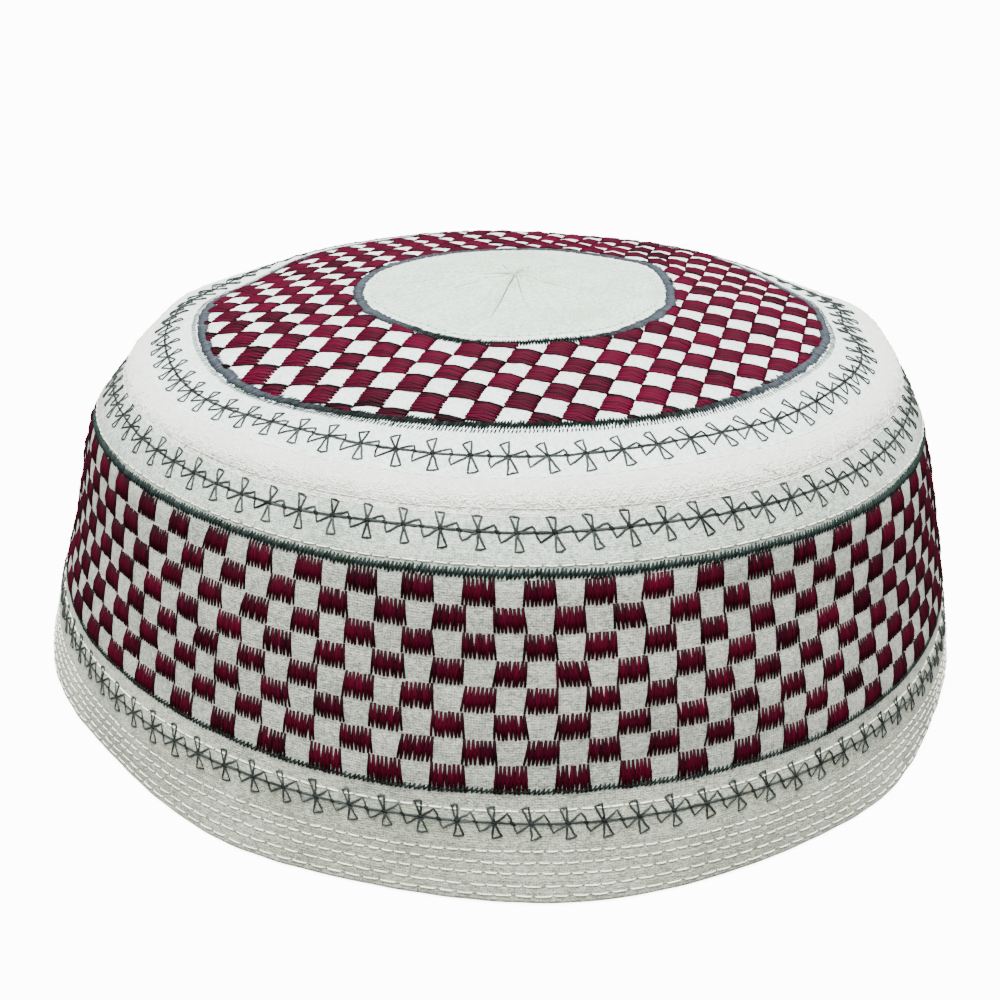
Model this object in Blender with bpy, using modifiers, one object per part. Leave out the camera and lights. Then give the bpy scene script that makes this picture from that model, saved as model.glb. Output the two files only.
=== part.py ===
"""Round stiff prayer cap in four sewn pieces: hem, side band, padded rim and domed crown.

Metres, +Z up. The origin is on the surface that the hem rests on, under the middle of the cap.
The front faces -Y.
"""
import math

import bpy

# Driving dimensions
CAP_RADIUS = 0.0950          # outer radius at the foot of the hem, for a 58 cm head
CAP_HEIGHT = 0.0718          # middle of the crown above the surface
WALL = 0.0021                # stiffened cloth of the side band and the crown
HEM_WALL = 0.0030            # folded and quilted double cloth
RIM_PAD = 0.0032             # padded strip over the shoulder
FOOT_FLAT = 0.0025           # width of the flat fold that the cap stands on
RIM_SEAT = 0.0023            # thickness of the padded strip at its two seams
SEAM_GAP = 0.0003            # clearance between two sewn pieces
SEGMENTS = 96                # faces round the cap

# How the cloth has settled: the wall bellies out near its foot and the crown sits a little askew
BELLY_LEFT = 0.0023          # towards -X
BELLY_RIGHT = 0.0011         # towards +X
BELLY_TOP = 0.0550           # height where the belly ends
RISE_RIGHT = 0.0025          # the crown's right side stands higher, its left side lower, at the rim
DROP_FRONT = -0.0006         # the same from back to front
LEAN = -0.0008               # sideways shift of the crown
RIM_REACH = 0.0900           # radius at which the two rises are given
CENTRE_SHIFT = (BELLY_LEFT - BELLY_RIGHT) / 2   # keeps the box of the cap centred on the origin

# Dents of the shoulder behind the line along which such a cap is folded flat
# Columns: azimuth in degrees from the front towards +X, half width in degrees, depth
FOLD_DENTS = (
    (-110.0, 15.0, 0.0030),
    (107.0, 14.0, 0.0018),
)
DENT_LOW = 0.0330            # the wall below this height keeps its shape
DENT_HIGH = 0.0560           # the shoulder above this height takes the whole dent
DENT_INNER = 0.0420          # the crown inside this radius keeps its shape
DENT_OUTER = 0.0720          # the crown outside this radius takes the whole dent

# Outer line of the cap from the foot to the middle of the crown
# Columns: piece, inset from the radius of the foot, height
OUTER_LINE = (
    ("hem", 0.0005, 0.0000),
    ("hem", 0.0000, 0.0006),
    ("hem", 0.0006, 0.0040),
    ("hem", 0.0015, 0.0082),
    ("hem", 0.0021, 0.0105),
    ("side", 0.0021, 0.0105),
    ("side", 0.0027, 0.0135),
    ("side", 0.0040, 0.0180),
    ("side", 0.0076, 0.0340),
    ("side", 0.0113, 0.0500),
    ("side", 0.0128, 0.0530),
    ("side", 0.0149, 0.0555),
    ("side", 0.0170, 0.0573),
    ("rim", 0.0167, 0.0573),
    ("rim", 0.0172, 0.0585),
    ("rim", 0.0186, 0.0598),
    ("rim", 0.0205, 0.0609),
    ("rim", 0.0223, 0.0614),
    ("crown", 0.0227, 0.0614),
    ("crown", 0.0252, 0.0627),
    ("crown", 0.0285, 0.0638),
    ("crown", 0.0317, 0.0646),
    ("crown", 0.0420, 0.0659),
    ("crown", 0.0530, 0.0671),
    ("crown", 0.0630, 0.0683),
    ("crown", 0.0750, 0.0698),
    ("crown", 0.0860, 0.0711),
    ("crown", CAP_RADIUS, CAP_HEIGHT),
)

# Pieces: node, rows of the outer line, thickness, colour, roughness
PIECES = (
    ("hem_band", "hem", HEM_WALL, (0.62, 0.62, 0.55, 1.0), 0.92),
    ("side_band", "side", WALL, (0.60, 0.63, 0.58, 1.0), 0.90),
    ("rim_strip", "rim", RIM_PAD, (0.76, 0.75, 0.66, 1.0), 0.90),
    ("crown_panel", "crown", WALL, (0.72, 0.75, 0.71, 1.0), 0.90),
)


def clear_scene():
    """Remove what the opened file holds."""
    for old in list(bpy.data.objects):
        bpy.data.objects.remove(old, do_unlink=True)


def cloth(name, colour, roughness):
    """Matt cloth of one colour."""
    material = bpy.data.materials.new(name)
    material.use_nodes = True
    shader = material.node_tree.nodes["Principled BSDF"]
    shader.inputs["Base Color"].default_value = colour
    shader.inputs["Roughness"].default_value = roughness
    shader.inputs["Metallic"].default_value = 0.0
    return material


def unit_normal(before, after):
    """Outward unit normal of the outer line between two of its points, foot first."""
    run, rise = after[0] - before[0], after[1] - before[1]
    length = math.hypot(run, rise)
    return rise / length, -run / length


def inner_point(line, index, thickness):
    """The point of the inner face that lies behind one point of the outer line."""
    before = line[max(index - 1, 0)]
    after = line[min(index + 1, len(line) - 1)]
    radius, height = line[index]
    if radius == 0.0:
        return 0.0, height - thickness
    across, up = unit_normal(before, after)
    return radius - across * thickness, height - up * thickness


def section(rows, thickness):
    """Section of one piece, down its outer side and up its inner side."""
    line = [(CAP_RADIUS - inset, height) for piece, inset, height in OUTER_LINE if piece == rows]
    inner = [inner_point(line, index, thickness) for index in range(len(line))]
    foot_radius, foot_height = line[0]
    if rows == "hem":
        inner[0] = (foot_radius - FOOT_FLAT, foot_height)
        inner[1] = (line[1][0] - thickness, line[1][1])
    if rows == "side":
        inner[0] = (inner[0][0], foot_height)
    if rows == "rim":
        inner[0] = (foot_radius - RIM_SEAT, foot_height)
        inner[-1] = (line[-1][0], line[-1][1] - RIM_SEAT)
    if rows == "crown":
        inner[0] = (foot_radius, foot_height - thickness)
    return list(reversed(line)) + inner


def seam_clearance(points, rows):
    """Draw the lower end of a piece up by the seam gap, so that it clears the piece below."""
    if rows == "hem":
        return points
    lowest = min(height for _, height in points)
    return [
        (radius, height + SEAM_GAP if height < lowest + SEAM_GAP else height)
        for radius, height in points
    ]


def smooth_ramp(value, low, high):
    """Smooth step from 0 at low to 1 at high."""
    share = min(max((value - low) / (high - low), 0.0), 1.0)
    return share * share * (3.0 - 2.0 * share)


def fold_dent(x, y, z, radius):
    """How far the shoulder dents sink one point."""
    azimuth = math.degrees(math.atan2(x, -y))
    depth = sum(deep * math.exp(-(((azimuth - middle) / width) ** 2)) for middle, width, deep in FOLD_DENTS)
    return depth * smooth_ramp(z, DENT_LOW, DENT_HIGH) * smooth_ramp(radius, DENT_INNER, DENT_OUTER)


def settled(x, y, z):
    """Where a point of the plain round cap lies once the cloth has settled."""
    radius = math.hypot(x, y)
    if radius == 0.0:
        return x + CENTRE_SHIFT + LEAN * z / CAP_HEIGHT, y, z
    side, back = x / radius, y / radius
    low = max(0.0, 1.0 - z / BELLY_TOP)
    belly = BELLY_LEFT if side < 0.0 else BELLY_RIGHT
    stretch = 1.0 + low * belly * side * side / radius
    rise = (RISE_RIGHT * side + DROP_FRONT * back) * (radius / RIM_REACH) * (z / CAP_HEIGHT)
    return (
        x * stretch + CENTRE_SHIFT + LEAN * z / CAP_HEIGHT,
        y * stretch,
        z + rise - fold_dent(x, y, z, radius),
    )


def turned_piece(name, rows, thickness, colour, roughness, home):
    """One sewn piece: its section turned round the cap, then settled."""
    points = seam_clearance(section(rows, thickness), rows)
    count = len(points)
    closed = points[0][0] > 0.0
    edges = [(index, (index + 1) % count) for index in range(count if closed else count - 1)]
    outline = bpy.data.meshes.new(name + "_section")
    outline.from_pydata([(radius, 0.0, height) for radius, height in points], edges, [])
    turned = bpy.data.objects.new(name + "_turned", outline)
    home.objects.link(turned)
    screw = turned.modifiers.new("Turn", "SCREW")
    screw.axis = "Z"
    screw.steps = SEGMENTS
    screw.render_steps = SEGMENTS
    screw.use_merge_vertices = True
    screw.merge_threshold = 0.0001
    bpy.context.view_layer.update()
    mesh = bpy.data.meshes.new_from_object(turned.evaluated_get(bpy.context.evaluated_depsgraph_get()))
    bpy.data.objects.remove(turned, do_unlink=True)
    for vertex in mesh.vertices:
        vertex.co = settled(*vertex.co)
    mesh.name = name
    mesh.shade_smooth()
    mesh.set_sharp_from_angle(angle=math.radians(50.0))
    mesh.materials.clear()
    mesh.materials.append(cloth(name + "_cloth", colour, roughness))
    piece = bpy.data.objects.new(name, mesh)
    home.objects.link(piece)
    return piece


def main():
    """Build the cap."""
    clear_scene()
    cap = bpy.data.collections.new("prayer_cap")
    bpy.context.scene.collection.children.link(cap)
    for name, rows, thickness, colour, roughness in PIECES:
        turned_piece(name, rows, thickness, colour, roughness, cap)


main()
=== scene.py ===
"""Looks of the embroidered prayer cap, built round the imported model.

Metres, +Z up, the front towards -Y. A place on the cap's outer face is given by its run, the length
along the outer line from the foot in millimetres, and its azimuth from the front towards +X.
"""
import math

import bpy
import numpy as np
from mathutils import Matrix, Vector


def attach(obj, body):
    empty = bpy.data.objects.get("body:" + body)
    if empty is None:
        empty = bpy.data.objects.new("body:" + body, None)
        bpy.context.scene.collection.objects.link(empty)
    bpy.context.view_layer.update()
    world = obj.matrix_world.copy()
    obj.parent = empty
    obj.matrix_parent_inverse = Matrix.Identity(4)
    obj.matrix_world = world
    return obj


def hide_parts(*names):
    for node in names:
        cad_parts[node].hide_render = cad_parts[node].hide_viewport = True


MM = 0.001
TURN = 2.0 * math.pi

CAP_RADIUS = 95.0            # outer radius near the foot, in millimetres
CAP_HEIGHT = 71.8            # middle of the crown above the surface

# The cap's outer line from the foot to the middle of the crown, as in the model, in millimetres
# Columns: inset from the radius near the foot, height
OUTER_LINE = (
    (0.5, 0.0),
    (0.0, 0.6),
    (0.6, 4.0),
    (1.5, 8.2),
    (2.1, 10.5),
    (2.7, 13.5),
    (4.0, 18.0),
    (7.6, 34.0),
    (11.3, 50.0),
    (12.8, 53.0),
    (14.9, 55.5),
    (16.9, 57.35),
    (17.4, 58.5),
    (18.7, 59.8),
    (20.5, 60.85),
    (22.5, 61.45),
    (25.2, 62.7),
    (28.5, 63.8),
    (31.7, 64.6),
    (42.0, 65.9),
    (53.0, 67.1),
    (63.0, 68.3),
    (75.0, 69.8),
    (86.0, 71.1),
    (CAP_RADIUS, CAP_HEIGHT),
)

# How the cloth has settled, as in the model, in millimetres and degrees
BELLY_LEFT = 2.3             # swelling of the wall near its foot, towards -X
BELLY_RIGHT = 1.1            # the same towards +X
BELLY_TOP = 55.0             # height where the belly ends
RISE_RIGHT = 2.5             # how much higher the crown's right side stands at the rim
DROP_FRONT = -0.6            # the same for its back
LEAN = -0.8                  # sideways shift of the crown
RIM_REACH = 90.0             # radius at which the two rises are given
CENTRE_SHIFT = (BELLY_LEFT - BELLY_RIGHT) / 2

# Dents of the shoulder
# Columns: azimuth, half width in degrees, depth
FOLD_DENTS = (
    (-110.0, 15.0, 3.0),
    (107.0, 14.0, 1.8),
)
DENT_HEIGHTS = (33.0, 56.0)  # heights between which a dent grows to its depth
DENT_RADII = (42.0, 72.0)    # radii between which it does

# Small pulls of the worn cloth, on top of how it has settled
# Columns: azimuth, run, half width in degrees, half width along the run, then outward and upward pull
PULLS = (
    (-45.0, 74.0, 28.0, 12.0, 0.0, -1.3),
    (-48.0, 79.0, 18.0, 6.0, 0.6, -0.8),
    (-58.0, 56.0, 20.0, 9.0, 0.0, 0.7),
    (-92.0, 54.0, 14.0, 6.0, -3.0, 0.0),
    (-92.0, 63.0, 12.0, 5.0, -1.4, -0.4),
    (82.0, 52.0, 13.0, 7.0, -1.5, 0.0),
    (86.0, 72.0, 9.0, 5.0, -2.0, 0.0),
    (103.0, 64.0, 12.0, 8.0, 1.4, 2.2),
    (126.0, 107.5, 18.0, 9.0, 3.9, 0.0),
    (5.0, 107.5, 45.0, 10.0, 1.8, -0.3),
    (-109.0, 66.0, 14.0, 8.0, 1.9, 2.3),
    (8.0, 0.0, 12.0, 5.0, 1.0, 0.0),
    (44.0, 0.0, 8.0, 6.0, 0.8, 0.0),
    (62.0, 0.0, 10.0, 6.0, -0.8, 0.0),
    (-26.0, 0.0, 8.0, 6.0, 0.8, 0.0),
    (-46.0, 0.0, 9.0, 6.0, -0.9, 0.0),
    (-64.0, 1.0, 8.0, 5.0, 0.4, 0.0),
)

# Runs of the seams, and of the rows of stitches that draw the hem and the strips in
HEM_TOP = 10.6
SHOULDER_SEAM = 60.9
CROWN_SEAM = 67.3
HEM_ROWS = (1.75, 3.25, 5.1, 6.8, 8.45)
STRIP_ROWS = (15.1, 67.1)

# Checks of the wall
CHECK_LOW = 18.3             # runs of their lower and upper bounds
CHECK_HIGH = 51.3
CHECK_ROWS = 8
CHECK_COLUMNS = 120
FIRST_CHECK = 3.66           # azimuth in degrees of a coloured check in the top row
CHECK_TWIST = 0.086          # degrees that each lower row is turned on

# Checks of the crown, in millimetres, which lie square across it and not round it
CROWN_ORIGIN = np.array((-17.75, -28.4))
CROWN_ALONG = np.array((4.60, -1.53))
CROWN_DOWN = np.array((-1.52, -5.30))
CROWN_INNER = 32.6           # radii of their bounds
CROWN_OUTER = 62.4
CROWN_CELLS = np.linalg.inv(np.stack([CROWN_ALONG, CROWN_DOWN], 1))

# Plain middle of the crown, in millimetres
DISC_RADIUS = 31.0
DISC_SPOKES = 16
DISC_ROWS = (27.4, 29.4)     # radii of its stitched rings

# Creases of the crown's middle
# Columns: azimuth in degrees, length, depth, half width
DISC_CREASES = (
    (-161.0, 9.5, 0.34, 0.45),
    (163.0, 9.0, 0.34, 0.45),
    (-88.0, 23.0, 0.26, 0.6),
    (90.0, 20.0, 0.26, 0.6),
    (-10.0, 23.0, 0.34, 0.5),
    (8.0, 16.0, 0.16, 0.5),
    (52.0, 14.0, 0.14, 0.6),
    (-58.0, 15.0, 0.14, 0.6),
)

# Relief of the cloth, in millimetres
BROAD_WAVES = 0.28
FINE_WAVES = 0.05
ROW_PULL = 0.13              # at the stitched rows of the hem and the strips
PAD_RISE = 0.42              # padded strip over the shoulder
CRINKLE_RISE = 0.08          # crinkles of that strip
STRIP_RISE = 0.25            # strip of the crown with its crosses
STRIP_REACH = 10.0           # width of that strip
WALL_PUFF = 0.2              # checks of the wall
CROWN_PUFF = 0.5             # checks of the crown
DISC_RISE = 0.24             # crown's middle between its spokes
DISC_WAVES = 0.10
DISC_PULL = 0.2              # at the stitched rings of the crown's middle
RIPPLE_TERMS = 14            # waves that make up a ripple
ROW_WAVES = (50.0, 90.0)     # wave lengths for a ripple that is taken round the cap alone
NORMAL_STEP = 0.6            # half the span over which the outer line's direction is taken
FOOT_ROUND = 1.5             # run below which that direction stays the same

# Look of the cloth
WEAVE_PITCH = 0.42           # pitch of the weave's threads, in millimetres
CROWN_WEAVE_TURN = 18.0      # degrees that the crown's weave is turned
WEAVE_SHARE = 0.42           # how much the weave shows in the tone
# Mottling of the cloth
# Columns: scale, detail, weight
MOTTLING = (
    (3200.0, 2.0, 2.2),
    (1300.0, 3.0, 2.6),
    (110.0, 4.0, 1.2),
)

# Where the cloth changes colour, in metres: radius at the crown's middle, darker inside as painted
# shade, then heights at the foot, darker towards it as painted shade, and at the lower and upper
# bounds of the band of checks
DISC_SHADE_RADII = (0.029, 0.034)
FOOT_SHADE_HEIGHTS = (0.002, 0.056)
BAND_FADES = ((0.0145, 0.0195), (0.0535, 0.0465))

# Threads, as colours of 0 to 255
# Columns: name, dark colour, light colour, roughness
THREADS = (
    ("maroon_floss", (24, 0, 8), (78, 1, 27), 0.6),
    ("maroon_floss_crown", (13, 3, 5), (79, 0, 32), 0.6),
    ("green_floss", (8, 20, 16), (58, 72, 70), 0.6),
    # The grey floss's light, slate colour serves as the painted sheen towards the sides
    ("grey_floss", (6, 17, 12), (78, 84, 92), 0.6),
    ("outline_thread", (20, 24, 23), (76, 83, 80), 0.6),
    ("white_thread", (198, 199, 182), (243, 244, 231), 0.7),
    ("cream_thread", (214, 213, 200), (255, 254, 248), 0.8),
    ("needle_shade", (92, 93, 81), (124, 125, 111), 0.9),
    ("crease_shade", (104, 110, 104), (140, 147, 140), 0.9),
)
THREAD_SPECULAR = 0.06
STRAND_SIDES = 4

# Camera fitted to the photograph
PHOTO_SIZE = 1000
PITCH = math.radians(23.17)
ROLL = math.radians(2.3)
DISTANCE = 0.24395
FOCAL_PIXELS = 1127.6
CENTRE_X = 513.7
CENTRE_Y = 415.0
AIM = (0.0006, 0.0, 0.040)
SENSOR = 36.0

# Light: glow of the room and of the floor, then two soft lamps
ROOM_GLOW = 0.55
FLOOR_GLOW = 9.0
FLOOR_SIZE = 40.0
FLOOR_DROP = 0.0002          # keeps the floor clear of the flat fold that the cap stands on
# Columns: name, azimuth from the front towards +X, elevation, strength, softness in degrees
LAMPS = (
    ("top_light", -15.0, 79.0, 13.0, 40.0),
    ("front_light", -35.0, 35.0, 0.5, 40.0),
)

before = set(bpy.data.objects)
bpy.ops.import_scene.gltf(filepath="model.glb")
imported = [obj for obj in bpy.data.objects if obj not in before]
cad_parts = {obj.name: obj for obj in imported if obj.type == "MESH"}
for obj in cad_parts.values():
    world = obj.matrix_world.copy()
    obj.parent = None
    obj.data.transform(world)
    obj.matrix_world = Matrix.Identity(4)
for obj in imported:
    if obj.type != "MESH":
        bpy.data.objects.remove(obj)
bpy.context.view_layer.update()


def spline(points, per_span):
    """Smooth curve through points, with per_span samples to each span."""
    padded = np.vstack([2 * points[0] - points[1], points, 2 * points[-1] - points[-2]])
    share = np.linspace(0.0, 1.0, per_span, endpoint=False)[:, None]
    spans = []
    for index in range(len(points) - 1):
        a, b, c, d = padded[index:index + 4]
        spans.append(0.5 * (
            2 * b + (c - a) * share + (2 * a - 5 * b + 4 * c - d) * share ** 2
            + (3 * b - a - 3 * c + d) * share ** 3
        ))
    return np.vstack(spans + [points[-1:]])


LINE = spline(np.array([(CAP_RADIUS - inset, height) for inset, height in OUTER_LINE]), 24)
LINE_RUN = np.concatenate([[0.0], np.cumsum(np.hypot(*np.diff(LINE, axis=0).T))])
TOTAL_RUN = LINE_RUN[-1]


def line_at(run):
    """Radius and height of the outer line at a run."""
    return np.interp(run, LINE_RUN, LINE[:, 0]), np.interp(run, LINE_RUN, LINE[:, 1])


def run_at_radius(radius):
    """Run of the crown at a radius."""
    crown = LINE_RUN > CROWN_SEAM - 1.0
    return np.interp(-np.asarray(radius), -LINE[crown, 0], LINE_RUN[crown])


def smooth_ramp(value, low, high):
    """Smooth step from 0 at low to 1 at high."""
    share = np.clip((value - low) / (high - low), 0.0, 1.0)
    return share * share * (3.0 - 2.0 * share)


def bell(distance, width):
    """Bell curve that is 1 at distance 0."""
    return np.exp(-((distance / width) ** 2))


def from_front(azimuth):
    """Degrees from the front to either side."""
    return np.degrees(np.abs(np.arctan2(np.sin(azimuth), np.cos(azimuth))))


def settled(x, y, z):
    """Where points of the plain round cap, in millimetres, lie once the cloth has settled, in metres."""
    radius = np.maximum(np.hypot(x, y), 1e-6)
    side, back = x / radius, y / radius
    low = np.maximum(0.0, 1.0 - z / BELLY_TOP)
    belly = np.where(side < 0.0, BELLY_LEFT, BELLY_RIGHT)
    stretch = 1.0 + low * belly * side * side / radius
    rise = (RISE_RIGHT * side + DROP_FRONT * back) * (radius / RIM_REACH) * (z / CAP_HEIGHT)
    azimuth = np.degrees(np.arctan2(x, -y))
    dent = sum(depth * bell(azimuth - middle, width) for middle, width, depth in FOLD_DENTS)
    dent = dent * smooth_ramp(z, *DENT_HEIGHTS) * smooth_ramp(radius, *DENT_RADII)
    shift = CENTRE_SHIFT + LEAN * z / CAP_HEIGHT
    return np.stack([x * stretch + shift, y * stretch, np.maximum(z + rise - dent, 0.0)], -1) * MM


def ripple(run, azimuth, seed, turns, waves):
    """Smooth seamless noise between about -1 and 1. It is made of waves that go round the cap a
    number of times from the range turns, with lengths along the run from the range waves."""
    rng = np.random.default_rng(seed)
    total = np.zeros(np.broadcast(run, azimuth).shape)
    for _ in range(RIPPLE_TERMS):
        around = rng.integers(turns[0], turns[1] + 1)
        along = TURN / rng.uniform(waves[0], waves[1])
        total += np.cos(around * azimuth + along * run * rng.choice((-1, 1)) + rng.uniform(0.0, TURN))
    return total / math.sqrt(RIPPLE_TERMS)


def disc_swell(run, azimuth, radius):
    """Share of the crown's plain middle in the swell: quilting between spokes, rings and creases."""
    disc = smooth_ramp(DISC_RADIUS - radius, 0.0, 2.0)
    from_spoke = np.abs(np.sin(azimuth * DISC_SPOKES / 2)) * 2.0 / DISC_SPOKES * radius
    quilt = DISC_RISE + DISC_WAVES * ripple(np.zeros_like(run * azimuth), azimuth, 6, (3, 9), ROW_WAVES)
    lift = disc * quilt * (1.0 - bell(from_spoke, 0.8))
    for row in DISC_ROWS:
        lift -= disc * DISC_PULL * bell(radius - row, 0.35)
    for middle, length, depth, width in DISC_CREASES:
        turn = azimuth - math.radians(middle)
        # A crease ends at the middle, so the far side is put out of its reach
        away = np.abs(radius * np.sin(turn)) + 9.0 * (np.cos(turn) < 0.0)
        fade = 1.0 - smooth_ramp(radius, length * 0.7, length * 1.1)
        lift -= depth * fade * bell(away, width)
    return lift


def swell(run, azimuth):
    """How far the cloth stands off the plain outer line, in millimetres: quilting, padding and creases."""
    lift = BROAD_WAVES * ripple(run, azimuth, 3, (2, 9), (26.0, 70.0)) * smooth_ramp(run, 2.0, 24.0)
    lift += FINE_WAVES * ripple(run, azimuth, 4, (30, 90), (5.0, 12.0))
    for row in HEM_ROWS + STRIP_ROWS:
        lift -= ROW_PULL * bell(run - row, 0.5)
    pad = np.clip((run - SHOULDER_SEAM) / (CROWN_SEAM - SHOULDER_SEAM), 0.0, 1.0)
    lift += PAD_RISE * np.sin(math.pi * pad) ** 1.5
    crinkle = smooth_ramp(run, 59.0, 61.0) * (1.0 - smooth_ramp(run, 64.0, 67.0))
    lift += CRINKLE_RISE * crinkle * ripple(run, azimuth, 5, (150, 420), (2.0, 6.0))
    strip = np.clip((run - CROWN_SEAM) / STRIP_REACH, 0.0, 1.0)
    lift += STRIP_RISE * np.sin(math.pi * strip)
    row_share = (CHECK_HIGH - run) / (CHECK_HIGH - CHECK_LOW) * CHECK_ROWS
    in_checks = smooth_ramp(row_share, 0.0, 0.3) * smooth_ramp(CHECK_ROWS - row_share, 0.0, 0.3)
    columns = (np.degrees(azimuth) - FIRST_CHECK) / 360.0 * CHECK_COLUMNS
    puff = np.abs(np.sin(math.pi * row_share) * np.cos(math.pi * columns)) ** 0.6
    lift += WALL_PUFF * in_checks * puff
    radius = line_at(run)[0]
    across = radius * np.sin(azimuth) - CROWN_ORIGIN[0]
    down = -radius * np.cos(azimuth) - CROWN_ORIGIN[1]
    along_cells = CROWN_CELLS[0, 0] * across + CROWN_CELLS[0, 1] * down
    down_cells = CROWN_CELLS[1, 0] * across + CROWN_CELLS[1, 1] * down
    puff = np.abs(np.sin(math.pi * along_cells) * np.sin(math.pi * down_cells)) ** 0.75
    in_crown = smooth_ramp(radius, CROWN_INNER, CROWN_INNER + 1.5)
    in_crown = in_crown * smooth_ramp(CROWN_OUTER - radius, 0.0, 1.5) * (run > CROWN_SEAM)
    lift += CROWN_PUFF * in_crown * puff
    return lift + disc_swell(run, azimuth, radius)


def pulled(run, azimuth):
    """Outward and upward shift of the cloth where it is pulled, in millimetres."""
    degrees = np.degrees(azimuth)
    out, up = np.zeros(run.shape), np.zeros(run.shape)
    for middle, level, wide, tall, out_pull, up_pull in PULLS:
        turn = (degrees - middle + 180.0) % 360.0 - 180.0
        share = np.exp(-((turn / wide) ** 2) - ((run - level) / tall) ** 2)
        out += out_pull * share
        up += up_pull * share
    return out, up


def lay(run, azimuth, lift, swollen=True):
    """Points that stand lift millimetres off the cloth at a run and azimuth, in metres."""
    run, azimuth, lift = np.broadcast_arrays(
        np.asarray(run, float), np.asarray(azimuth, float), np.asarray(lift, float)
    )
    radius, height = line_at(run)
    base = np.maximum(run, FOOT_ROUND)
    ahead, behind = line_at(base + NORMAL_STEP), line_at(base - NORMAL_STEP)
    across, up = ahead[1] - behind[1], behind[0] - ahead[0]
    length = np.hypot(across, up)
    total = lift + (swell(run, azimuth) if swollen else 0.0)
    out_pull, up_pull = pulled(run, azimuth)
    radius = np.maximum(radius + across / length * total + out_pull, 0.0)
    height = height + up / length * total + up_pull
    return settled(radius * np.sin(azimuth), -radius * np.cos(azimuth), height)


def outward(run, azimuth):
    """Unit normals of the cloth."""
    normal = lay(run, azimuth, 1.0) - lay(run, azimuth, 0.0)
    return normal / np.linalg.norm(normal, axis=-1, keepdims=True)


def linear(red, green, blue):
    """Scene colour of an sRGB colour of 0 to 255."""
    channels = (red / 255.0, green / 255.0, blue / 255.0)
    return tuple(c / 12.92 if c <= 0.04045 else ((c + 0.055) / 1.055) ** 2.4 for c in channels) + (1.0,)


class Nodes:
    """Short way to build a material's nodes."""

    def __init__(self, name):
        self.material = bpy.data.materials.new(name)
        self.material.use_nodes = True
        self.tree = self.material.node_tree
        self.shader = self.tree.nodes["Principled BSDF"]

    def add(self, kind, **values):
        """A node with its properties and unlinked sockets set."""
        node = self.tree.nodes.new(kind)
        for key, value in values.items():
            if key.startswith("in_"):
                slot = key[3:]
                node.inputs[int(slot) if slot.isdigit() else slot.replace("_", " ")].default_value = value
            else:
                setattr(node, key, value)
        return node

    def link(self, source, target):
        """Link an output to an input."""
        self.tree.links.new(source, target)

    def shade(self, **values):
        """Set unlinked sockets of the shader."""
        for key, value in values.items():
            self.shader.inputs[key.replace("_", " ")].default_value = value

    def math(self, operation, first, second):
        """Math node on sockets or numbers."""
        node = self.add("ShaderNodeMath", operation=operation)
        for slot, value in enumerate((first, second)):
            if isinstance(value, (int, float)):
                node.inputs[slot].default_value = value
            else:
                self.link(value, node.inputs[slot])
        return node.outputs[0]

    def mix(self, share, first, second):
        """Colour between two colours or sockets."""
        node = self.add("ShaderNodeMix", data_type="RGBA")
        for slot, value in ((0, share), (6, first), (7, second)):
            if isinstance(value, (int, float, tuple)):
                node.inputs[slot].default_value = value
            else:
                self.link(value, node.inputs[slot])
        return node.outputs[2]

    def ramp(self, value, low, high):
        """Smooth step of a socket, from 0 at low to 1 at high."""
        node = self.add("ShaderNodeMapRange", in_1=low, in_2=high, interpolation_type="SMOOTHSTEP")
        self.link(value, node.inputs[0])
        return node.outputs[0]

    def noise(self, place, **values):
        """Noise at a place."""
        node = self.add("ShaderNodeTexNoise", **values)
        self.link(place, node.inputs["Vector"])
        return node.outputs["Fac"]

    def height(self, place):
        """Height of a place."""
        node = self.add("ShaderNodeSeparateXYZ")
        self.link(place, node.inputs[0])
        return node.outputs["Z"]

    def bump(self, height, strength, distance):
        """Bump into the shader's normal."""
        node = self.add("ShaderNodeBump", in_Strength=strength, in_Distance=distance)
        self.link(height, node.inputs["Height"])
        self.link(node.outputs["Normal"], self.shader.inputs["Normal"])


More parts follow.
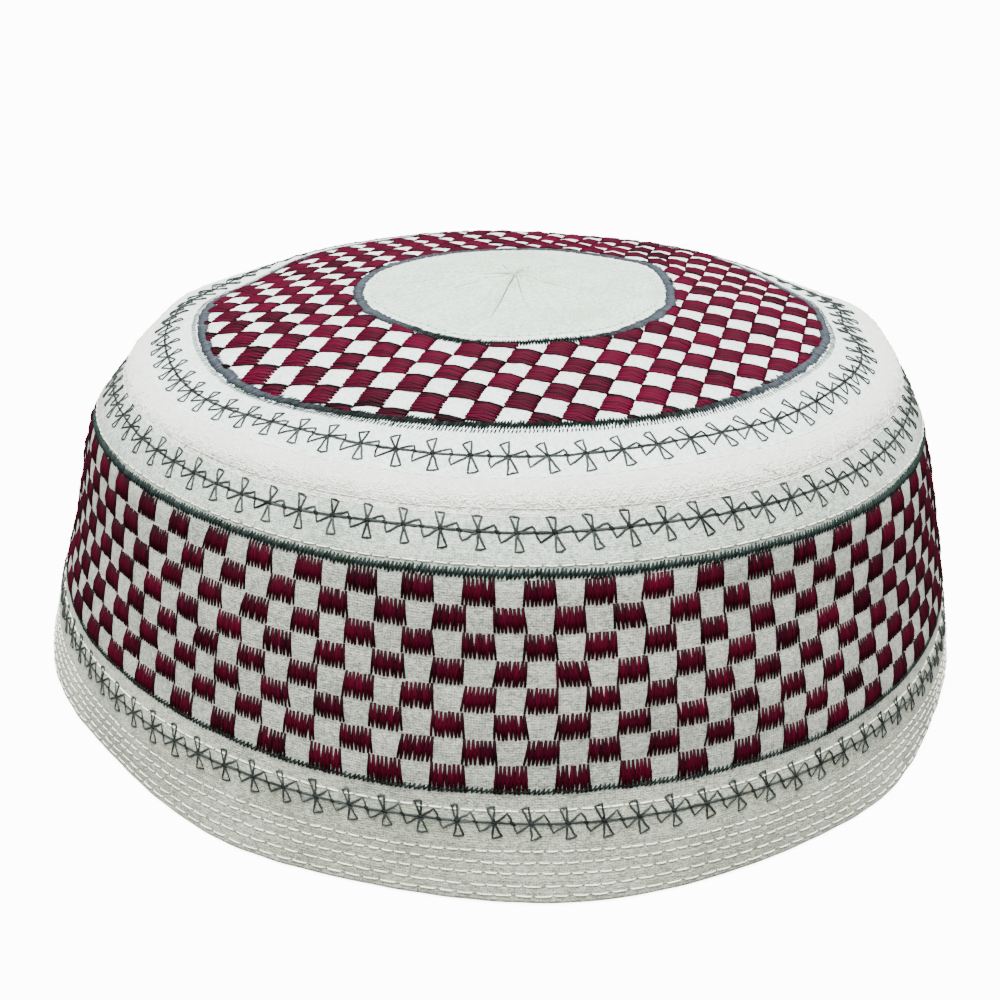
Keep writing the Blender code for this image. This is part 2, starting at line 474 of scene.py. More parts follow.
def cloth_material(name, shades, foot=None, band=None, disc=None, crinkle=0.0, sheen=0.08):
    """Matt plain-woven cotton: thread grid from the metric UV map, mottling and slubs.
    Shades are its light and dark colour. They may change to others towards the foot, between
    the lines of the side band or in the crown's middle."""
    nodes = Nodes(name)
    uv = nodes.add("ShaderNodeUVMap", uv_map="weave")
    waves = []
    for direction in ("X", "Y"):
        wave = nodes.add("ShaderNodeTexWave", bands_direction=direction, wave_type="BANDS",
                         in_Scale=0.314 / WEAVE_PITCH, in_Distortion=1.6, in_Detail=2.0,
                         in_Detail_Scale=2.5)
        nodes.link(uv.outputs["UV"], wave.inputs["Vector"])
        waves.append(wave.outputs["Fac"])
    total = nodes.math("MULTIPLY", nodes.math("MULTIPLY", *waves), WEAVE_SHARE)
    place = nodes.add("ShaderNodeTexCoord").outputs["Object"]
    for scale, detail, weight in MOTTLING:
        noise = nodes.noise(place, in_Scale=scale, in_Detail=detail, in_Roughness=0.65)
        total = nodes.math("ADD", total, nodes.math("MULTIPLY", nodes.math("SUBTRACT", noise, 0.5), weight))
    # Crinkles show in the bump and also in the colour, as painted shade of the crinkles
    if crinkle:
        noise = nodes.noise(place, in_Scale=620.0, in_Detail=3.0, in_Roughness=0.6, in_Distortion=1.6)
        total = nodes.math("ADD", total, nodes.math("MULTIPLY", nodes.math("SUBTRACT", noise, 0.5), crinkle))
    share = nodes.math("ADD", total, 0.4)
    share.node.use_clamp = True

    def shaded(light, dark):
        """Colour between a light and a dark one by the cloth's mottling."""
        return nodes.mix(share, linear(*dark), linear(*light))

    colour = shaded(*shades)
    # The crown's middle turns darker, as painted shade beside the brighter lit shoulder
    if disc is not None:
        flat = nodes.add("ShaderNodeVectorMath", operation="MULTIPLY", in_1=(1.0, 1.0, 0.0))
        nodes.link(place, flat.inputs[0])
        radius = nodes.add("ShaderNodeVectorMath", operation="LENGTH")
        nodes.link(flat.outputs[0], radius.inputs[0])
        colour = nodes.mix(nodes.ramp(radius.outputs["Value"], *DISC_SHADE_RADII), shaded(*disc), colour)
    # Towards the foot the cotton turns creamier and darker; the darkening is painted shade of the lower wall
    if foot is not None:
        colour = nodes.mix(nodes.ramp(nodes.height(place), *FOOT_SHADE_HEIGHTS), shaded(*foot), colour)
    if band is not None:
        inside = nodes.math("MULTIPLY", *[nodes.ramp(nodes.height(place), *fade) for fade in BAND_FADES])
        colour = nodes.mix(inside, colour, shaded(*band))
    nodes.link(colour, nodes.shader.inputs["Base Color"])
    nodes.shade(Roughness=0.93, Sheen_Weight=sheen, Sheen_Roughness=0.6, Specular_IOR_Level=0.2)
    nodes.bump(total, 0.7, 0.00018 + 0.00012 * crinkle)
    return nodes.material


def thread_material(name, dark, light, roughness):
    """Embroidery thread, lighter or darker by each strand's own tone."""
    nodes = Nodes(name)
    tone = nodes.add("ShaderNodeAttribute", attribute_name="tone")
    place = nodes.add("ShaderNodeTexCoord").outputs["Object"]
    ply = nodes.noise(place, in_Scale=3500.0, in_Detail=2.0)
    share = nodes.math("ADD", tone.outputs["Fac"], nodes.math("MULTIPLY", ply, 0.35))
    share = nodes.math("SUBTRACT", share, 0.17)
    share.node.use_clamp = True
    nodes.link(nodes.mix(share, linear(*dark), linear(*light)), nodes.shader.inputs["Base Color"])
    nodes.shade(Roughness=roughness, Specular_IOR_Level=THREAD_SPECULAR)
    nodes.bump(ply, 0.35, 0.00008)
    return nodes.material


def mesh_piece(name, points, quads, material, tones=None, uvs=None, replaced=()):
    """A piece from arrays of points and four-cornered faces, riding on the cap."""
    mesh = bpy.data.meshes.new(name)
    mesh.from_pydata(points.tolist(), [], quads.tolist())
    if tones is not None:
        layer = mesh.attributes.new("tone", "FLOAT", "POINT")
        layer.data.foreach_set("value", tones.astype(np.float32).ravel())
    if uvs is not None:
        layer = mesh.uv_layers.new(name="weave")
        layer.data.foreach_set("uv", uvs.astype(np.float32).ravel())
    mesh.shade_smooth()
    if uvs is not None:
        mesh.set_sharp_from_angle(angle=math.radians(55.0))
    mesh.materials.append(material)
    piece = bpy.data.objects.new(name, mesh)
    bpy.context.scene.collection.objects.link(piece)
    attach(piece, "root")
    if replaced:
        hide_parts(*replaced)
    return piece


def shell(name, low, high, thickness, spacing, around, material):
    """One sewn cloth piece from run low to run high, with its relief outside and plain inside.
    The one that reaches the middle of the crown closes there, and its weave runs straight across."""
    azimuth = np.linspace(0.0, TURN, around, endpoint=False)
    closed = high >= TOTAL_RUN
    outer_runs = np.linspace(low, high, int((high - low) / spacing) + 2)
    inner_runs = np.linspace(high, low, max(int((high - low) / (spacing * 4)), 4))
    if closed:
        outer_runs, inner_runs = outer_runs[:-1], inner_runs[1:]
    outer = lay(outer_runs[:, None], azimuth[None, :], 0.0)
    inner = lay(inner_runs[:, None], azimuth[None, :], -thickness, swollen=False)
    points = np.concatenate([outer, inner]).reshape(-1, 3)
    runs = np.concatenate([outer_runs, inner_runs])
    rows = np.arange(len(runs))
    if closed:
        rows = rows[rows != len(outer_runs) - 1]
    first = np.repeat(rows, around)
    column = np.tile(np.arange(around), len(rows))
    second = (first + 1) % len(runs)
    right = (column + 1) % around
    quads = np.stack([first * around + column, first * around + right,
                      second * around + right, second * around + column], -1)
    if closed:
        flat = points[quads][..., :2] / MM
        turn = math.radians(CROWN_WEAVE_TURN)
        uvs = np.stack([flat[..., 0] * math.cos(turn) - flat[..., 1] * math.sin(turn),
                        flat[..., 0] * math.sin(turn) + flat[..., 1] * math.cos(turn)], -1)
        base = len(points)
        poles = [lay(TOTAL_RUN, 0.0, 0.0), lay(TOTAL_RUN, 0.0, -thickness, swollen=False)]
        points = np.concatenate([points, poles])
        last_outer = (len(outer_runs) - 1) * around
        first_inner = len(outer_runs) * around
        ring = np.arange(0, around, 2)
        top = np.stack([last_outer + ring, last_outer + ring + 1, last_outer + (ring + 2) % around,
                        np.full_like(ring, base)], -1)
        bottom = np.stack([first_inner + (ring + 2) % around, first_inner + ring + 1,
                           first_inner + ring, np.full_like(ring, base + 1)], -1)
        fans = np.concatenate([top, bottom])
        quads = np.concatenate([quads, fans])
        uvs = np.concatenate([uvs, points[fans][..., :2] / MM])
    else:
        mean_radius = float(line_at(0.5 * (low + high))[0])
        u0 = azimuth[column] * mean_radius
        u1 = (column + 1) * TURN / around * mean_radius
        uvs = np.stack([np.stack([u0, runs[first]], -1), np.stack([u1, runs[first]], -1),
                        np.stack([u1, runs[second]], -1), np.stack([u0, runs[second]], -1)], 1)
    return mesh_piece(name, points, quads, material, uvs=uvs, replaced=(name.replace("_cloth", ""),))


def strands(name, run, azimuth, lift, half_width, half_height, tone, material):
    """Joined thread strands. Each row of the arrays is one strand, each column a point along it."""
    shape = np.broadcast(run, azimuth, lift, half_width, half_height).shape
    run, azimuth, lift, half_width, half_height = (
        np.broadcast_to(values, shape) for values in (run, azimuth, lift, half_width, half_height)
    )
    centre = lay(run, azimuth, lift)
    up = outward(run, azimuth)
    along = np.gradient(centre, axis=1)
    along /= np.maximum(np.linalg.norm(along, axis=-1, keepdims=True), 1e-12)
    side = np.cross(along, up)
    side /= np.maximum(np.linalg.norm(side, axis=-1, keepdims=True), 1e-12)
    up = np.cross(side, along)
    corner = np.arange(STRAND_SIDES)
    angle = TURN * corner / STRAND_SIDES
    ring = (
        centre[:, :, None, :]
        + side[:, :, None, :] * (half_width[:, :, None] * np.cos(angle) * MM)[..., None]
        + up[:, :, None, :] * (half_height[:, :, None] * np.sin(angle) * MM)[..., None]
    )
    strand_count, point_count = shape
    points = ring.reshape(-1, 3)
    base = np.arange(strand_count)[:, None, None] * point_count * STRAND_SIDES
    step = np.arange(point_count - 1)[None, :, None] * STRAND_SIDES
    after = (corner + 1) % STRAND_SIDES
    ahead = step + STRAND_SIDES
    body = np.stack(np.broadcast_arrays(
        base + step + corner, base + ahead + corner, base + ahead + after, base + step + after
    ), -1).reshape(-1, 4)
    first_cap = base[:, 0] + corner
    last_cap = base[:, 0] + (point_count - 1) * STRAND_SIDES + corner[::-1]
    quads = np.concatenate([body, first_cap, last_cap])
    tones = np.broadcast_to(np.asarray(tone).reshape(strand_count, -1)[:, :, None],
                            (strand_count, point_count, STRAND_SIDES))
    return mesh_piece(name, points, quads, material, tones=tones)


def strokes(ends, rise, half_width, end_width=0.75):
    """Straight stitches between two ends given as (count, 2, 2) run and azimuth arrays.
    Gives run, azimuth, lift and half width arrays."""
    share = np.linspace(0.0, 1.0, 3)
    run = ends[:, 0, 0, None] * (1 - share) + ends[:, 1, 0, None] * share
    azimuth = ends[:, 0, 1, None] * (1 - share) + ends[:, 1, 1, None] * share
    arch = np.sin(math.pi * share) ** 0.5
    lift = rise * (0.15 + 0.85 * arch)[None, :]
    width = half_width * np.array((end_width, 1.0, end_width))[None, :]
    return run, azimuth, lift, width


def wall_checks(material):
    """Coloured checks of the side band, each a zigzag of upright stitches, whose upper ends and side strokes
    are darkened as painted shade.
    """
    rng = np.random.default_rng(11)
    teeth = 8
    low_reach = 0.45
    end_shade = 0.45
    row_height = (CHECK_HIGH - CHECK_LOW) / CHECK_ROWS
    pitch = TURN / CHECK_COLUMNS
    steps = np.arange(2 * teeth + 1)
    side_shade = np.abs(np.linspace(-1.0, 1.0, 2 * teeth)) ** 6 * 0.3
    ends, tones = [], []
    for row in range(CHECK_ROWS):
        top = CHECK_HIGH - row * row_height
        first = math.radians(FIRST_CHECK + CHECK_TWIST * row) + pitch * (row % 2)
        for cell in range(CHECK_COLUMNS // 2):
            middle = first + 2 * pitch * cell + rng.normal(0.0, 0.02) * pitch
            width = pitch * rng.uniform(1.04, 1.12)
            low = top - row_height + 0.02 + rng.normal(0.0, 0.04)
            high = top - 0.14 + rng.normal(0.0, 0.04)
            if row == CHECK_ROWS - 1:
                low = CHECK_LOW - low_reach
            slant = rng.normal(0.0, 0.025) * pitch
            cell_tone = rng.normal(0.42, 0.07)
            across = (steps / (2 * teeth) - 0.5) * width + rng.normal(0.0, 0.011, steps.shape) * pitch
            level = np.where(steps % 2 == 0, low, high) + rng.normal(0.0, 0.07, steps.shape)
            lean = np.where(steps % 2 == 0, -slant, slant)
            knots = np.stack([level, middle + across + lean], -1)
            ends.append(np.stack([knots[:-1], knots[1:]], 1))
            tone = (cell_tone - side_shade + rng.normal(0.0, 0.15, 2 * teeth))[:, None] * np.ones(3)
            tone[0::2, 2] -= end_shade
            tone[1::2, 0] -= end_shade
            tones.append(tone)
    ends, tones = np.concatenate(ends), np.concatenate(tones)
    run, azimuth, lift, width = strokes(ends, rise=0.18, half_width=0.215, end_width=0.95)
    return strands("wall_checks", run, azimuth, lift, width, width * 0.95, tones, material)


def clipped(start, end):
    """First part of a straight stitch that lies among the crown's checks, or None."""
    fewest = 8
    share = np.linspace(0.0, 1.0, 41)
    path = start[None] * (1 - share[:, None]) + end[None] * share[:, None]
    radius = np.hypot(path[:, 0], path[:, 1])
    index = np.flatnonzero((radius > CROWN_INNER) & (radius < CROWN_OUTER))
    if len(index) < fewest:
        return None
    breaks = np.flatnonzero(np.diff(index) > 1)
    if len(breaks):
        index = index[:breaks[0] + 1]
    if len(index) < fewest:
        return None
    return path[index[0]], path[index[-1]]


def crown_checks(material):
    """Coloured checks of the crown, filled with stitches that run from side to side."""
    rng = np.random.default_rng(12)
    lines = 14
    # The first lines of each check, at its side towards the back, are darker, as painted shade
    edge_shades = (0.9, 0.9, 0.4)
    slope = (0.22, 0.78)
    ends, tones = [], []
    for row in range(-20, 18):
        for column in range(-20, 21):
            if (row + column) % 2:
                continue
            corner = CROWN_ORIGIN + column * CROWN_ALONG + row * CROWN_DOWN
            middle = corner + 0.5 * (CROWN_ALONG + CROWN_DOWN)
            if not CROWN_INNER - 4 < np.hypot(*middle) < CROWN_OUTER + 4:
                continue
            cell_tone = rng.normal(0.5, 0.08)
            left = rng.normal(-0.01, 0.01)
            right = 1.01 + rng.normal(0.0, 0.01)
            for line in range(lines):
                shares = [(line + part) / lines * 1.02 - 0.01 for part in slope]
                if line % 2:
                    shares = shares[::-1]
                start = corner + CROWN_ALONG * (left + rng.normal(0.0, 0.013)) + CROWN_DOWN * shares[0]
                end = corner + CROWN_ALONG * (right + rng.normal(0.0, 0.013)) + CROWN_DOWN * shares[1]
                stitch = clipped(start, end)
                if stitch is None:
                    continue
                ends.append(stitch)
                shade = edge_shades[line] if line < len(edge_shades) else 0.0
                tones.append(cell_tone + rng.normal(0.0, 0.17) - shade)
    ends = np.array(ends)
    share = np.array((0.0, 0.13, 0.5, 0.87, 1.0))
    path = ends[:, None, 0] * (1 - share[None, :, None]) + ends[:, None, 1] * share[None, :, None]
    run = run_at_radius(np.hypot(path[..., 0], path[..., 1]))
    azimuth = np.unwrap(np.arctan2(path[..., 0], -path[..., 1]), axis=1)
    lift = np.array((0.06, 0.2, 0.3, 0.2, 0.06))[None, :]
    width = np.array((0.23, 0.245, 0.25, 0.245, 0.23))[None, :]
    return strands("crown_checks", run, azimuth, lift, width, width, np.array(tones), material)


# Lines of close stitches round the cap, in millimetres
# Columns: name, run of the middle, reach across, pitch, half width, rise, lean in pitches, tones at
# the front and at the sides and back (the lighter side tone is a painted sheen), extra reach of the
# lower and the upper ends, seed, thread, slot
SATIN_RINGS = (
    ("upper_line", 51.9, 1.5, 0.31, 0.17, 0.24, 0.6,
     (0.3, 0.4), (0.0, 0.0), 21, "green_floss", "green_thread"),
    ("lower_line", CHECK_LOW - 0.1, 0.9, 0.36, 0.14, 0.2, 0.8,
     (0.2, 0.4), (0.1, 0.0), 22, "green_floss", "green_thread"),
    ("crown_outer_line", float(run_at_radius(62.7)), 2.15, 0.25, 0.16, 0.26, 0.9,
     (-0.04, 0.7), (0.0, 0.0), 23, "grey_floss", "grey_thread"),
    ("crown_inner_line", float(run_at_radius(32.0)), 2.15, 0.25, 0.16, 0.26, 0.6,
     (-0.04, 0.7), (0.1, 0.0), 24, "grey_floss", "grey_thread"),
)
SHEEN_TURNS = (14.0, 58.0)    # degrees from the front between which the tones change to the painted sheen of the sides


def satin_ring(name, middle, reach, pitch, half_width, rise, lean, tones, spikes, seed, material, slot):
    """Close zigzag line round the cap, across a run, in which every other stroke is darker.
    Ends with an extra reach are thinner."""
    rng = np.random.default_rng(seed)
    radius = float(line_at(middle)[0])
    count = int(TURN * radius / pitch / 2) * 2
    knots = TURN * np.arange(count + 1) / count
    sway = 0.12 * ripple(np.zeros(count + 1), knots, seed, (3, 30), ROW_WAVES)
    upper = np.arange(count + 1) % 2 == 1
    spread = np.where(upper, reach / 2 + spikes[1], -reach / 2 - spikes[0])
    run = middle + sway + spread + rng.normal(0.0, reach * 0.06, count + 1)
    sign = np.where(upper, 1.0, -1.0)
    azimuth = knots + sign * lean * pitch / radius + rng.normal(0.0, 0.12, count + 1) * pitch / radius
    corners = np.stack([run, azimuth], -1)
    run, azimuth, lift, width = strokes(np.stack([corners[:-1], corners[1:]], 1), rise, half_width)
    thin = np.where(upper, 1.0 - 1.6 * spikes[1], 1.0 - 1.6 * spikes[0])
    width = np.repeat(width, count, 0)
    width[:, 0] *= thin[:-1]
    width[:, 2] *= thin[1:]
    # The tone lightens from the front to the sides and back, as a painted sheen
    tone = tones[0] + (tones[1] - tones[0]) * smooth_ramp(from_front(knots[:-1]), *SHEEN_TURNS)
    tone = tone + rng.normal(0.0, 0.15, count)
    tone[::2] -= 0.35 * np.clip(tone[::2], 0.0, 1.0)
    return strands(name, run, azimuth, lift, width, width * 0.9, tone, material)


def outer_ticks(material):
    """Ring of short separate stitches outside the crown's outer line, thinner to the sides and lighter
    there, as a painted sheen.
    """
    rng = np.random.default_rng(25)
    inner, outer = 63.85, 64.8
    pitch, slant = 0.66, 0.12
    tones = (0.1, 0.7)
    count = int(TURN * outer / pitch)
    knots = TURN * np.arange(count) / count + rng.normal(0.0, 0.1, count) * pitch / outer
    near = run_at_radius(inner + rng.normal(0.0, 0.04, count))
    far = run_at_radius(outer + rng.normal(0.0, 0.06, count))
    far_ends = np.stack([far, knots - slant / outer], -1)
    near_ends = np.stack([near, knots + slant / outer], -1)
    run, azimuth, lift, width = strokes(np.stack([far_ends, near_ends], 1), rise=0.16, half_width=0.13)
    turn = from_front(knots)
    width = width * (1.0 - 0.45 * smooth_ramp(turn, 20.0, 60.0))[:, None]
    tone = tones[0] + (tones[1] - tones[0]) * smooth_ramp(turn, *SHEEN_TURNS) + rng.normal(0.0, 0.12, count)
    return strands("crown_outer_ticks", run, azimuth, lift, width, width * 0.9, tone, material)


# Rings of small crosses, in millimetres
# Columns: name, run of the middle, number, phase in pitches, then the corners of the petals above,
# below, to the left and to the right as (along, up) in the order in which they are sewn
CROSS_RINGS = (
    ("low_crosses", 13.35, 104, -0.06,
     ((-1.33, 2.3), (-0.2, 2.6)), ((1.33, -2.25), (-0.2, -2.65)),
     ((-2.1, -1.5), (-2.8, 0.0)), ((2.0, 1.5), (2.8, 0.0))),
    ("shoulder_crosses", 58.1, 90, 0.31,
     ((-1.2, 2.5), (0.2, 2.3)), ((1.3, -2.6), (0.0, -2.85)),
     ((-2.2, -1.5), (-2.79, 0.0)), ((2.27, 1.0), (2.79, 0.0))),
    ("crown_crosses", 71.5, 75, 0.04,
     ((-1.5, 2.4), (-0.06, 3.1)), ((1.36, -3.0), (-0.15, -3.3)),
     ((-2.7, -2.0), (-2.92, -0.1)), ((2.6, 1.1), (2.92, 0.0))),
)


def petal_path(first, second):
    """Nine points from the middle of a cross round one petal and back."""
    first, second = np.array(first), np.array(second)
    bend = np.array((-(second - first)[1], (second - first)[0])) * 0.06
    tip = (first + second) / 2 + bend
    return np.array([first * 0.04, first * 0.35, first * 0.7, first, tip, second, second * 0.68,
                     second * 0.34, second * 0.04])


def joined(*lists):
    """Each list of arrays as one array."""
    return [np.concatenate(arrays) for arrays in lists]


def cross_ring(name, middle, count, phase, petals, material, seed):
    """Ring of small outlined crosses joined by a line, with a knot at each middle and joint."""
    rng = np.random.default_rng(seed)
    radius = float(line_at(middle)[0])
    centres = TURN * (np.arange(count) + phase) / count
    sway = 0.25 * ripple(np.zeros(count), centres, seed, (3, 14), ROW_WAVES)
    follow = np.roll(sway, -1)
    paths = np.array([petal_path(*petal) for petal in petals])
    runs, azimuths, tones = [], [], []
    for index in range(count):
        tilt = rng.normal(0.0, 0.06)
        turned = np.array(((math.cos(tilt), -math.sin(tilt)), (math.sin(tilt), math.cos(tilt))))
        shape = paths + rng.normal(0.0, 0.05, paths.shape)
        # Only the upper and lower petals tilt
        shape[:2] = (shape[:2] @ turned.T) * rng.uniform(0.94, 1.04)
        runs.append(middle + sway[index] + shape[..., 1])
        azimuths.append(centres[index] + shape[..., 0] / radius)
        tones.append(rng.normal(0.45, 0.14, len(paths)))
    runs, azimuths, tones = joined(runs, azimuths, tones)
    strands(name + "_petals", runs, azimuths, lift=0.14, half_width=0.175, half_height=0.12, tone=tones,
            material=material)

    share = np.linspace(-0.02, 1.02, 9)
    runs, azimuths = [], []
    for line in range(2):
        bow = (line - 0.5) * 0.22 * np.abs(np.sin(TURN * share)) ** 0.8 + 0.04 * (line - 0.5)
        bow = bow[None, :] + rng.normal(0.0, 0.04, count)[:, None] * np.sin(math.pi * share)[None, :]
        runs.append(middle + sway[:, None] * (1 - share) + follow[:, None] * share + bow)
        azimuths.append(centres[:, None] + share[None, :] * TURN / count)
    runs, azimuths = joined(runs, azimuths)
    strands(name + "_line", runs, azimuths, lift=0.13, half_width=0.08, half_height=0.08,
            tone=rng.normal(0.5, 0.15, len(runs)), material=material)

    share = np.linspace(-0.5, 0.5, 5)
    runs, azimuths, widths = [], [], []
    # Columns: place in pitches, level, half width
    for place, level, size in ((0.0, sway, 0.38), (0.5, (sway + follow) / 2, 0.29)):
        slant = rng.normal(-0.5, 0.25, count)[:, None] * share[None, :] * 0.5
        runs.append(middle + level[:, None] + slant)
        azimuths.append(centres[:, None] + place * TURN / count + share[None, :] * 0.95 / radius)
        widths.append(size * rng.uniform(0.8, 1.15, (count, 1)) * (0.5 + np.cos(math.pi * share)) / 1.5)
    runs, azimuths, widths = joined(runs, azimuths, widths)
    strands(name + "_knots", runs, azimuths, lift=0.18, half_width=widths, half_height=widths * 0.6,
            tone=rng.normal(0.0, 0.06, len(runs)), material=material)


# Rows of running stitches on the hem and the side band, in millimetres
# Columns: run, pitch, length, half width, seed, phase in pitches, rise
HEM_STITCHES = (
    (HEM_ROWS[4], 2.2, 1.8, 0.14, 61, 0.0, 0.22),
    (HEM_ROWS[3], 2.2, 1.8, 0.14, 62, 0.4, 0.22),
    (HEM_ROWS[2], 2.2, 1.8, 0.14, 63, 0.7, 0.22),
    (HEM_ROWS[1], 2.95, 2.5, 0.14, 64, 0.0, 0.22),
    (HEM_ROWS[0], 2.95, 2.5, 0.14, 65, 0.5, 0.22),
    (STRIP_ROWS[0], 2.3, 2.1, 0.15, 66, 0.0, 0.14),
    (53.2, 2.3, 2.0, 0.13, 67, 0.0, 0.18),
)

# The same for the padded strip
STRIP_STITCHES = (
    (60.6, 2.0, 1.9, 0.09, 71, 0.0, 0.1),
    (61.7, 2.2, 2.1, 0.09, 72, 0.0, 0.1),
    (67.15, 1.9, 1.5, 0.09, 73, 0.0, 0.16),
)

# The same for the stitched rings of the crown's middle
DISC_STITCHES = (
    (float(run_at_radius(DISC_ROWS[0])), 1.9, 1.3, 0.11, 81, 0.0, 0.14),
    (float(run_at_radius(DISC_ROWS[1])), 1.9, 1.3, 0.11, 82, 0.0, 0.14),
)


def running_row(middle, pitch, length, half_width, seed, phase, rise):
    """One row of running stitches round the cap: run, azimuth, lift, half width and tone arrays."""
    rng = np.random.default_rng(seed)
    radius = float(line_at(middle)[0])
    count = int(round(TURN * radius / pitch))
    centres = TURN * (np.arange(count) + phase) / count + rng.normal(0.0, 0.05, count) * pitch / radius
    reach = length * rng.uniform(0.88, 1.08, count)
    share = np.array((-0.5, -0.36, 0.0, 0.36, 0.5))
    sway = 0.08 * ripple(np.zeros(count), centres, seed + 1, (3, 25), ROW_WAVES)
    tilt = rng.normal(0.0, 0.05, count)
    run = middle + sway[:, None] + tilt[:, None] * share[None, :]
    azimuth = centres[:, None] + share[None, :] * reach[:, None] / radius
    arch = np.array((0.0, 0.85, 1.0, 0.85, 0.0))
    lift = np.broadcast_to(rise * arch - 0.04, (count, 5))
    width = np.broadcast_to(half_width * (0.7 + 0.3 * arch), (count, 5))
    return run, azimuth, lift, width, rng.normal(0.65, 0.16, count)


def gap_shadows(row):
    """Short dark dashes in the gaps after the stitches of a row, as painted shadow between the stitches."""
    run, azimuth = row[0], row[1]
    gap = np.roll(azimuth[:, 0], -1) - azimuth[:, -1]
    gap = np.where(gap < -math.pi, gap + TURN, gap)
    share = np.array((0.1, 0.5, 0.9))
    places = azimuth[:, -1:] + gap[:, None] * share[None, :]
    level = run[:, -1:] * (1 - share) + np.roll(run[:, 0], -1)[:, None] * share
    width = np.broadcast_to(np.array((0.1, 0.15, 0.1)), level.shape)
    return level, places, np.full(level.shape, 0.01), width, np.full(len(run), 0.5)


def joined_rows(name, rows, material):
    """Several sets of strands with the same number of points, as one piece."""
    run, azimuth, lift, width, tones = joined(*zip(*rows))
    return strands(name, run, azimuth, lift, width, width * 0.85, tones, material)


def whip_stitches():
    """Fine crossing stitches that hold the padded strip to the side band."""
    rng = np.random.default_rng(31)
    count = 1100
    lowest = 60.7
    spread = 1.9
    centres = TURN * np.arange(count) / count + rng.normal(0.0, 0.004, count)
    radius = float(line_at(62.0)[0])
    reach = rng.uniform(0.4, 1.6, count)
    slant = rng.normal(0.0, 0.9, count)
    start = lowest + np.abs(rng.normal(0.0, spread, count))
    share = np.linspace(0.0, 1.0, 4)
    run = start[:, None] + reach[:, None] * share
    azimuth = centres[:, None] + slant[:, None] * (share - 0.5) / radius
    arch = np.sin(math.pi * share) ** 0.5
    lift = np.broadcast_to(0.09 * arch - 0.04, run.shape)
    width = np.broadcast_to(0.11 * (0.6 + 0.4 * arch), run.shape)
    return run, azimuth, lift, width, rng.normal(0.6, 0.25, count)


def spoke_stitches():
    """Small stitches along the spokes of the crown's middle."""
    rng = np.random.default_rng(41)
    first, pitch, length = 1.2, 1.75, 1.25
    runs, azimuths = [], []
    share = np.linspace(-0.5, 0.5, 5)
    for spoke in range(DISC_SPOKES):
        angle = TURN * spoke / DISC_SPOKES
        for radius in np.arange(first, DISC_RADIUS - 1.0, pitch):
            place = radius + rng.normal(0.0, 0.08) + share * length
            runs.append(run_at_radius(place))
            azimuths.append(np.full(5, angle + rng.normal(0.0, 0.05) / radius))
    run, azimuth = np.array(runs), np.array(azimuths)
    arch = np.cos(math.pi * share) ** 0.4
    lift = np.broadcast_to(0.13 * arch - 0.05, run.shape)
    width = np.broadcast_to(0.12 * (0.55 + 0.45 * arch), run.shape)
    return run, azimuth, lift, width, rng.normal(0.3, 0.25, len(run))


def crease_lines():
    """Shade that gathers in the creases of the crown's middle."""
    rng = np.random.default_rng(43)
    points = 24
    start = 0.8
    share = np.linspace(0.0, 1.0, points)
    runs, azimuths, widths = [], [], []
    for middle, length, depth, _ in DISC_CREASES:
        radius = start + (length - start) * share
        wander = 0.12 * np.cumsum(rng.normal(0.0, 0.5, points)) * share
        runs.append(run_at_radius(radius))
        azimuths.append(math.radians(middle) + wander / np.maximum(radius, 3.0))
        widths.append(depth * 0.65 * (1.0 - share) ** 0.6 + 0.03)
    run, azimuth, width = np.array(runs), np.array(azimuths), np.array(widths)
    return run, azimuth, np.full(run.shape, 0.02), width, np.full(len(run), 0.4)


def make_stage():
    """Pale floor, soft lights and pale surroundings."""
    white = (1.0, 1.0, 1.0, 1.0)
    bpy.ops.mesh.primitive_plane_add(size=FLOOR_SIZE, location=(0.0, 0.0, -FLOOR_DROP))
    floor = bpy.context.object
    floor.name = "floor"
    nodes = Nodes("pale_floor")
    nodes.shade(Base_Color=(0.9, 0.9, 0.9, 1.0), Roughness=0.95, Specular_IOR_Level=0.0,
                Emission_Color=white, Emission_Strength=FLOOR_GLOW)
    floor.data.materials.append(nodes.material)
    floor.visible_diffuse = False
    floor.visible_glossy = False
    world = bpy.data.worlds.new("pale_room")
    world.use_nodes = True
    background = world.node_tree.nodes["Background"]
    background.inputs["Color"].default_value = white
    background.inputs["Strength"].default_value = ROOM_GLOW
    bpy.context.scene.world = world
    for name, azimuth, elevation, strength, softness in LAMPS:
        data = bpy.data.lights.new(name, "SUN")
        data.energy = strength
        data.angle = math.radians(softness)
        lamp = bpy.data.objects.new(name, data)
        bpy.context.scene.collection.objects.link(lamp)
        turn, rise = math.radians(azimuth), math.radians(elevation)
        place = Vector((math.sin(turn) * math.cos(rise), -math.cos(turn) * math.cos(rise), math.sin(rise)))
        lamp.location = place
        lamp.rotation_euler = place.to_track_quat("Z", "Y").to_euler()


def make_camera():
    """Camera at the photograph's place, angle and framing."""
    data = bpy.data.cameras.new("photo_camera")
    data.sensor_width = SENSOR
    data.lens = FOCAL_PIXELS * SENSOR / PHOTO_SIZE
    data.shift_x = (PHOTO_SIZE / 2 - CENTRE_X) / PHOTO_SIZE
    data.shift_y = (CENTRE_Y - PHOTO_SIZE / 2) / PHOTO_SIZE
    data.clip_start = 0.01
    camera = bpy.data.objects.new("photo_camera", data)
    bpy.context.scene.collection.objects.link(camera)
    forward = Vector((0.0, math.cos(PITCH), -math.sin(PITCH)))
    place = Vector(AIM) - forward * DISTANCE
    turn = forward.to_track_quat("-Z", "Y").to_matrix().to_4x4() @ Matrix.Rotation(ROLL, 4, "Z")
    camera.matrix_world = Matrix.Translation(place) @ turn
    bpy.context.scene.camera = camera


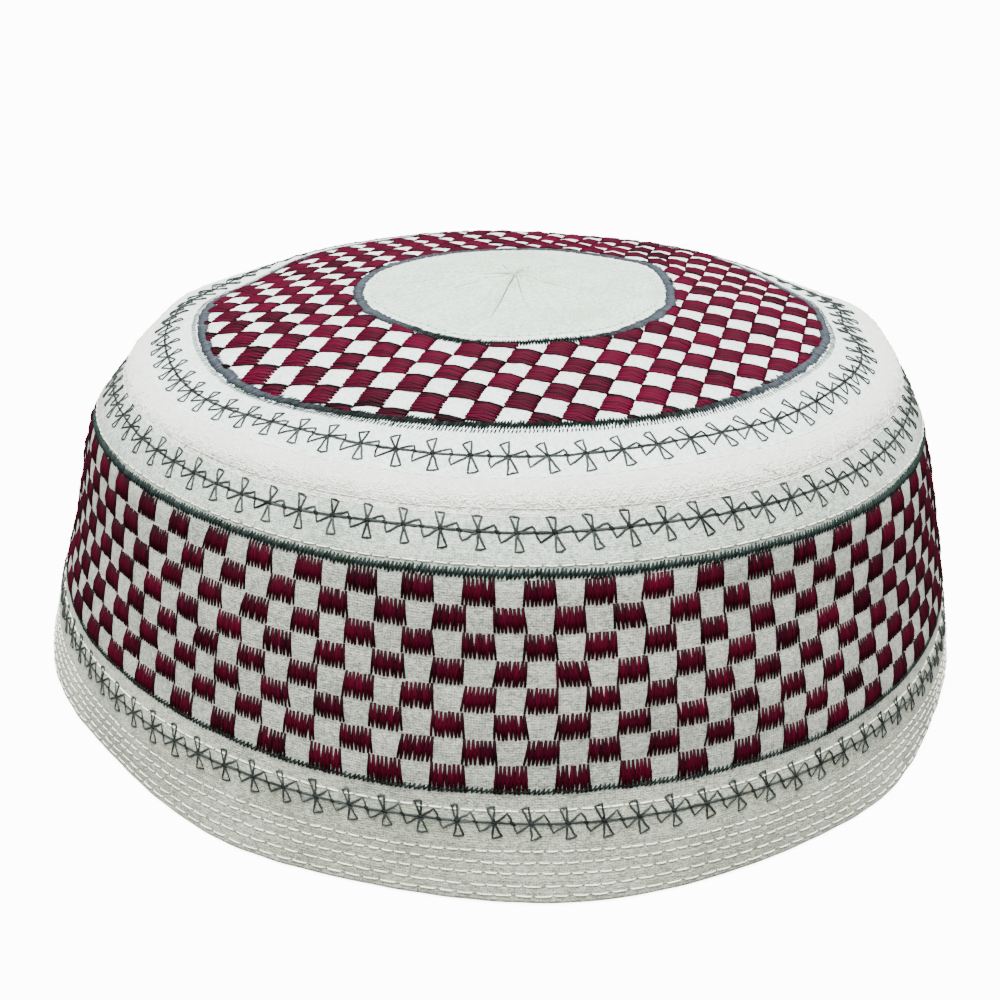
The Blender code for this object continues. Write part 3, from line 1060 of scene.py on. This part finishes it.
def main():
    """Dress the cap."""
    make_camera()
    make_stage()

    # The wall's cotton has darker shades than the crown's, as painted shade of the upright wall
    cotton = cloth_material("cotton", ((199, 209, 196), (137, 149, 137)),
                            foot=((180, 185, 165), (125, 131, 112)), band=((183, 186, 175), (124, 129, 118)))
    strip_cotton = cloth_material("strip_cotton", ((255, 255, 247), (234, 237, 222)), crinkle=1.9, sheen=0.4)
    # The crown's middle is given darker shades, as painted shade
    crown_cotton = cloth_material("crown_cotton", ((240, 255, 250), (197, 213, 206)),
                                  disc=((221, 241, 221), (169, 187, 170)))
    threads = {name: thread_material(name, dark, light, rough) for name, dark, light, rough in THREADS}

    shell("hem_band_cloth", 0.0, HEM_TOP, 2.6, 0.36, 720, cotton)
    shell("side_band_cloth", HEM_TOP, SHOULDER_SEAM, 2.0, 0.9, 720, cotton)
    shell("rim_strip_cloth", SHOULDER_SEAM, CROWN_SEAM, 2.4, 0.4, 720, strip_cotton)
    shell("crown_panel_cloth", CROWN_SEAM, TOTAL_RUN, 2.0, 0.85, 560, crown_cotton)

    wall_checks(threads["maroon_floss"])
    crown_checks(threads["maroon_floss_crown"])
    for *sizes, thread, slot in SATIN_RINGS:
        satin_ring(*sizes, threads[thread], slot)
    outer_ticks(threads["grey_floss"])
    for seed, (name, middle, count, phase, *petals) in enumerate(CROSS_RINGS, 51):
        cross_ring(name, middle, count, phase, petals, threads["outline_thread"], seed)

    hem_rows = [running_row(*row) for row in HEM_STITCHES]
    strip_rows = [running_row(*row) for row in STRIP_STITCHES]
    disc_rows = [running_row(*row) for row in DISC_STITCHES]
    joined_rows("hem_stitches", hem_rows, threads["white_thread"])
    joined_rows("gap_shadows", [gap_shadows(row) for row in hem_rows], threads["needle_shade"])
    joined_rows("strip_stitches", strip_rows, threads["cream_thread"])
    joined_rows("whip_stitches", [whip_stitches()], threads["cream_thread"])
    joined_rows("disc_stitches", disc_rows + [spoke_stitches()], threads["white_thread"])
    joined_rows("disc_gap_shade", [gap_shadows(row) for row in disc_rows], threads["crease_shade"])
    joined_rows("disc_crease_shade", [crease_lines()], threads["crease_shade"])


main()
